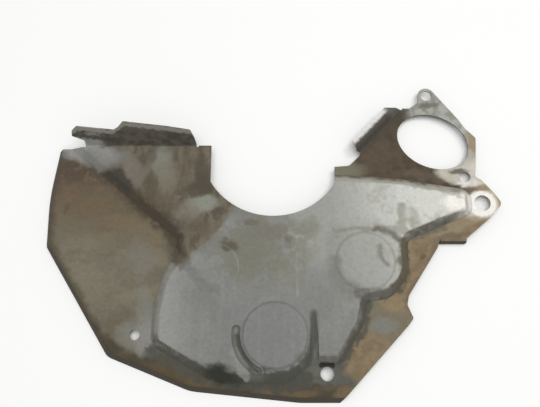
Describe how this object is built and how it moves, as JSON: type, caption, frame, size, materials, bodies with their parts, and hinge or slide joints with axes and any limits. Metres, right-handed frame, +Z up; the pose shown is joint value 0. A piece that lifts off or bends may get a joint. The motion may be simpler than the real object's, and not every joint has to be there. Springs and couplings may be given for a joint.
{
  "type": "transmission spacer plate",
  "caption": "Pressed sheet-steel plate between engine and gearbox, with a raised face, turned-down lips, a crankshaft cut-out, a starter opening and turned-up flanges.",
  "frame": {"origin": "where the crankshaft's axis meets the surface that the plate lies on", "axes": "+X towards the starter side, +Y away from the sump, +Z up out of the raised face, along the crankshaft"},
  "size_m": [0.4491, 0.3133, 0.039],
  "materials": {
    "plate_steel": "dull coated sheet steel, stained with oil and rusted along the rim"
  },
  "bodies": {
    "root": {"spacer_plate": "plate_steel"}
  },
  "joints": []
}
